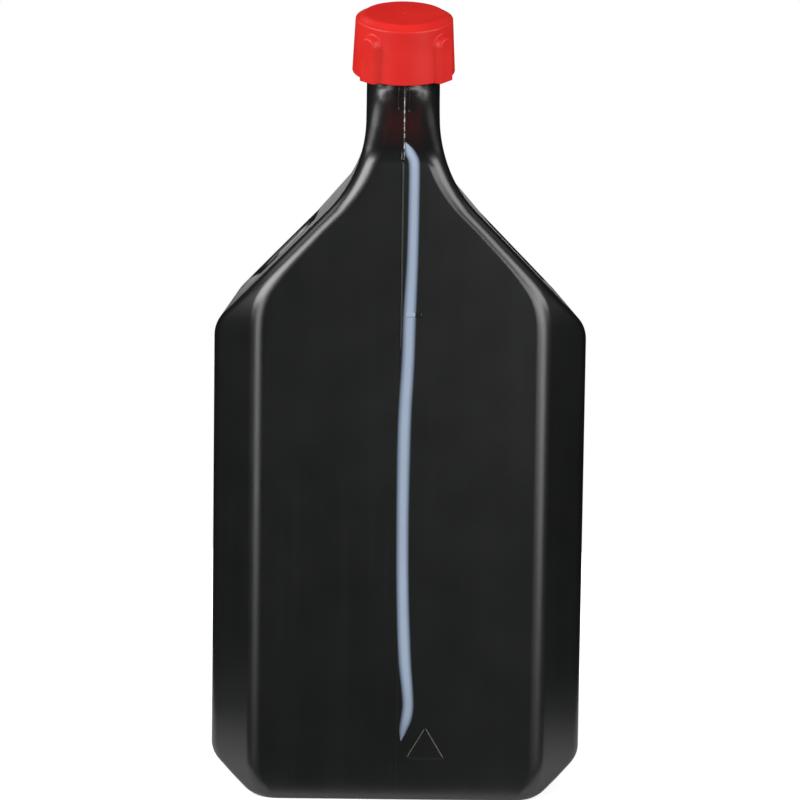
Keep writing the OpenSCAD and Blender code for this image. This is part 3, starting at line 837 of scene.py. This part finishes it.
def build_front_rib(name, x, width, proud, start, end, steps, material, wander=0.0):
    """A low rib up the front's middle line, as the mould's pinch-off leaves it."""
    section = ((-0.5, -0.25), (-0.36, 0.8), (-0.24, 1.0), (0.24, 1.0), (0.36, 0.8), (0.5, -0.25))
    sunk = -0.15
    rows = []
    for i in range(steps + 1):
        t = mix(start, end, i / steps)
        point = front_line(t)
        along = (front_line(t + 0.02) - front_line(t - 0.02)).normalized()
        out = Vector((-along[1], along[0]))
        bow = clamp(t / NECK_STEP) ** 4 / (2 * SKIN_R)
        fade = clamp(min(i, steps - i) / 2 + 0.15)
        shift = wander * math.sin(i * 2.4) * math.sin(i * 0.71 + 1)
        row = []
        for u, h in section:
            across = x + shift + u * width
            lift = (proud * h * fade if h > 0 else sunk) - bow * across**2
            row.append(Vector((across, point[0] + out[0] * lift, point[1] + out[1] * lift)) * MM)
        rows.append(row)
    rib = new_piece(name, closed_loft(rows), material, "canister")
    even_shading(rib)


build_full_mark("full_mark_natural", 1.83, 5.6, MARK)
build_full_mark("full_mark_black", 4.9, 7.66, BLACK)
build_triangle()
build_front_rib("pinch_edge_left", -1.7, 0.45, 0.2, step_at(255.0), PINCH_END, 24, BLACK, 0.04)
build_front_rib("pinch_edge_right", 2.1, 0.45, 0.2, step_at(254.0), PINCH_END, 24, BLACK, 0.04)
build_front_rib("pinch_fin", 0.45, 0.5, 0.4, step_at(238.0), PINCH_END, 90, FLASH, 0.06)
build_front_rib("pinch_flash", 1.1, 0.3, 0.2, step_at(243.5), 13.6, 50, BLACK, 0.05)
build_front_rib("pinch_stub", 0.0, 1.35, 0.3, step_at(236.5), step_at(240.6), 10, BLACK, 0.03)
PARTING_STEP = (PARTING_Z - FLARE_START) / (BEND_Z - FLARE_START) * 2
build_front_rib("parting_line", 0.0, 0.42, 0.16, PARTING_STEP, step_at(236.8), 40, BLACK)


# Floor, backdrop, world and lamps
STAGE_PALE = "#EDEDED"


def white_to(tree, *rays):
    """1 for the named kinds of ray, 0 for the others."""
    path = add(tree, "ShaderNodeLightPath").outputs
    found = path[rays[0]]
    for ray in rays[1:]:
        found = add(tree, "ShaderNodeMath", {"operation": "MAXIMUM"},
                    links={0: found, 1: path[ray]}).outputs["Value"]
    return found


def white_floor():
    """Plain pale floor, lit with a glow of its own that grows to full white away from the object."""
    material, tree = new_material("white_floor")
    plain = add(tree, "ShaderNodeBsdfDiffuse", inputs={"Color": linear(STAGE_PALE)}).outputs["BSDF"]
    place = add(tree, "ShaderNodeTexCoord").outputs["Object"]
    away = add(tree, "ShaderNodeVectorMath", {"operation": "LENGTH"}, links={0: place}).outputs["Value"]
    far = add(tree, "ShaderNodeMapRange", inputs={"From Min": 0.1, "From Max": 0.16},
              links={"Value": away}).outputs["Result"]
    lift = ramp(tree, far, [(0.0, grey(0.62)), (1.0, grey(1))], "EASE")
    glow = add(tree, "ShaderNodeEmission", inputs={"Strength": 1.0},
               links={"Color": lift}).outputs["Emission"]
    shown = add(tree, "ShaderNodeAddShader", links={0: plain, 1: glow}).outputs["Shader"]
    seen = white_to(tree, "Is Camera Ray", "Is Transmission Ray")
    both = add(tree, "ShaderNodeMixShader", links={0: seen, 1: plain, 2: shown}).outputs["Shader"]
    add(tree, "ShaderNodeOutputMaterial", links={"Surface": both})
    return material


def white_backdrop():
    """White where it is looked at or mirrored, plain pale for scattered light."""
    material, tree = new_material("white_backdrop")
    plain = add(tree, "ShaderNodeBsdfDiffuse", inputs={"Color": linear(STAGE_PALE)}).outputs["BSDF"]
    shown = add(tree, "ShaderNodeEmission",
                inputs={"Color": (1, 1, 1, 1), "Strength": 1.0}).outputs["Emission"]
    seen = white_to(tree, "Is Camera Ray", "Is Transmission Ray", "Is Glossy Ray")
    both = add(tree, "ShaderNodeMixShader", links={0: seen, 1: plain, 2: shown}).outputs["Shader"]
    add(tree, "ShaderNodeOutputMaterial", links={"Surface": both})
    return material


def build_stage_plane(name, material, near, along, across):
    """A flat sheet from its near left corner, along two edges."""
    bm = bmesh.new()
    verts = bmesh.ops.create_grid(bm, x_segments=1, y_segments=1, size=1)["verts"]
    for vert in verts:
        u, v = (vert.co.x + 1) / 2, (vert.co.y + 1) / 2
        vert.co = Vector(near) + u * Vector(along) + v * Vector(across)
    mesh = bpy.data.meshes.new(name)
    bm.to_mesh(mesh)
    bm.free()
    mesh.materials.append(material)
    plane = bpy.data.objects.new(name, mesh)
    bpy.context.scene.collection.objects.link(plane)


build_stage_plane("floor", white_floor(), (-0.17, -0.107, 0), (0.34, 0, 0), (0, 0.607, 0))
build_stage_plane("backdrop", white_backdrop(), (-0.42, 2.5, 0), (0.84, 0, 0), (0, 0, 1.2))


def build_world():
    """White behind everything, a soft fill on the object, nearly dark where the black wall mirrors it."""
    world = bpy.data.worlds.new("white_studio")
    bpy.context.scene.world = world
    world.use_nodes = True
    tree = world.node_tree
    tree.nodes.clear()
    path = add(tree, "ShaderNodeLightPath").outputs
    seen, filling, mirrored = [
        add(tree, "ShaderNodeBackground",
            inputs={"Color": (1, 1, 1, 1), "Strength": strength}).outputs["Background"]
        for strength in (1.0, 0.32, 0.006)
    ]
    unseen = add(tree, "ShaderNodeMixShader",
                 links={0: path["Is Glossy Ray"], 1: filling, 2: mirrored}).outputs["Shader"]
    both = add(tree, "ShaderNodeMixShader",
               links={0: path["Is Camera Ray"], 1: unseen, 2: seen}).outputs["Shader"]
    add(tree, "ShaderNodeOutputWorld", links={"Surface": both})


build_world()


def soft_lamp(name, place, aim_z, size, power):
    """A white rectangle of light, in metres and watts, that faces the object's axis."""
    data = bpy.data.lights.new(name, "AREA")
    data.shape, data.size, data.size_y, data.energy = "RECTANGLE", size[0], size[1], power
    lamp = bpy.data.objects.new(name, data)
    bpy.context.scene.collection.objects.link(lamp)
    lamp.location = place
    lamp.rotation_euler = (Vector((0, 0, aim_z)) - Vector(place)).to_track_quat("-Z", "Y").to_euler()


soft_lamp("softbox_left", (-1.06, -0.6, 0.78), 0.2, (0.85, 0.72), 15)
soft_lamp("softbox_right", (1.08, -0.62, 0.78), 0.2, (0.75, 0.72), 8.4)
soft_lamp("strip_left", (-0.85, -1.0, 0.26), 0.2, (0.4, 0.7), 3.1)
soft_lamp("strip_right", (0.9, -1.0, 0.26), 0.2, (0.42, 0.7), 3.5)
soft_lamp("side_left", (-0.85, 0.42, 1.1), 0.24, (0.4, 0.4), 1.2)
soft_lamp("side_right", (0.85, 0.42, 1.1), 0.24, (0.4, 0.4), 0.3)
soft_lamp("room_right", (0.95, -2.0, 0.4), 0.2, (1.0, 0.7), 9)


# Camera, fitted to the photo: place in millimetres, turns in radians, focal length in pixels of its width
CAM_PLACE = Vector((-8.318, -1169.1, 263.5)) * MM
YAW, PITCH_DOWN, ROLL = 0.00779, 0.10581, 0.01339
FOCAL_PX, PHOTO_PX, SENSOR_W = 2956.0, 800.0, 36.0


def build_camera():
    data = bpy.data.cameras.new("photo_view")
    data.sensor_width = SENSOR_W
    data.lens = FOCAL_PX * SENSOR_W / PHOTO_PX
    data.clip_start, data.clip_end = 0.05, 50
    camera = bpy.data.objects.new("photo_view", data)
    bpy.context.scene.collection.objects.link(camera)
    flat = math.cos(PITCH_DOWN)
    forward = Vector((math.sin(YAW) * flat, math.cos(YAW) * flat, -math.sin(PITCH_DOWN)))
    right = forward.cross(Vector((0, 0, 1))).normalized()
    up = right.cross(forward)
    tilted_right = right * math.cos(ROLL) + up * math.sin(ROLL)
    tilted_up = up * math.cos(ROLL) - right * math.sin(ROLL)
    turn = Matrix((tilted_right, tilted_up, -forward)).transposed()
    camera.matrix_world = Matrix.Translation(CAM_PLACE) @ turn.to_4x4()
    bpy.context.scene.camera = camera


build_camera()
bpy.context.scene.view_settings.view_transform = "Standard"
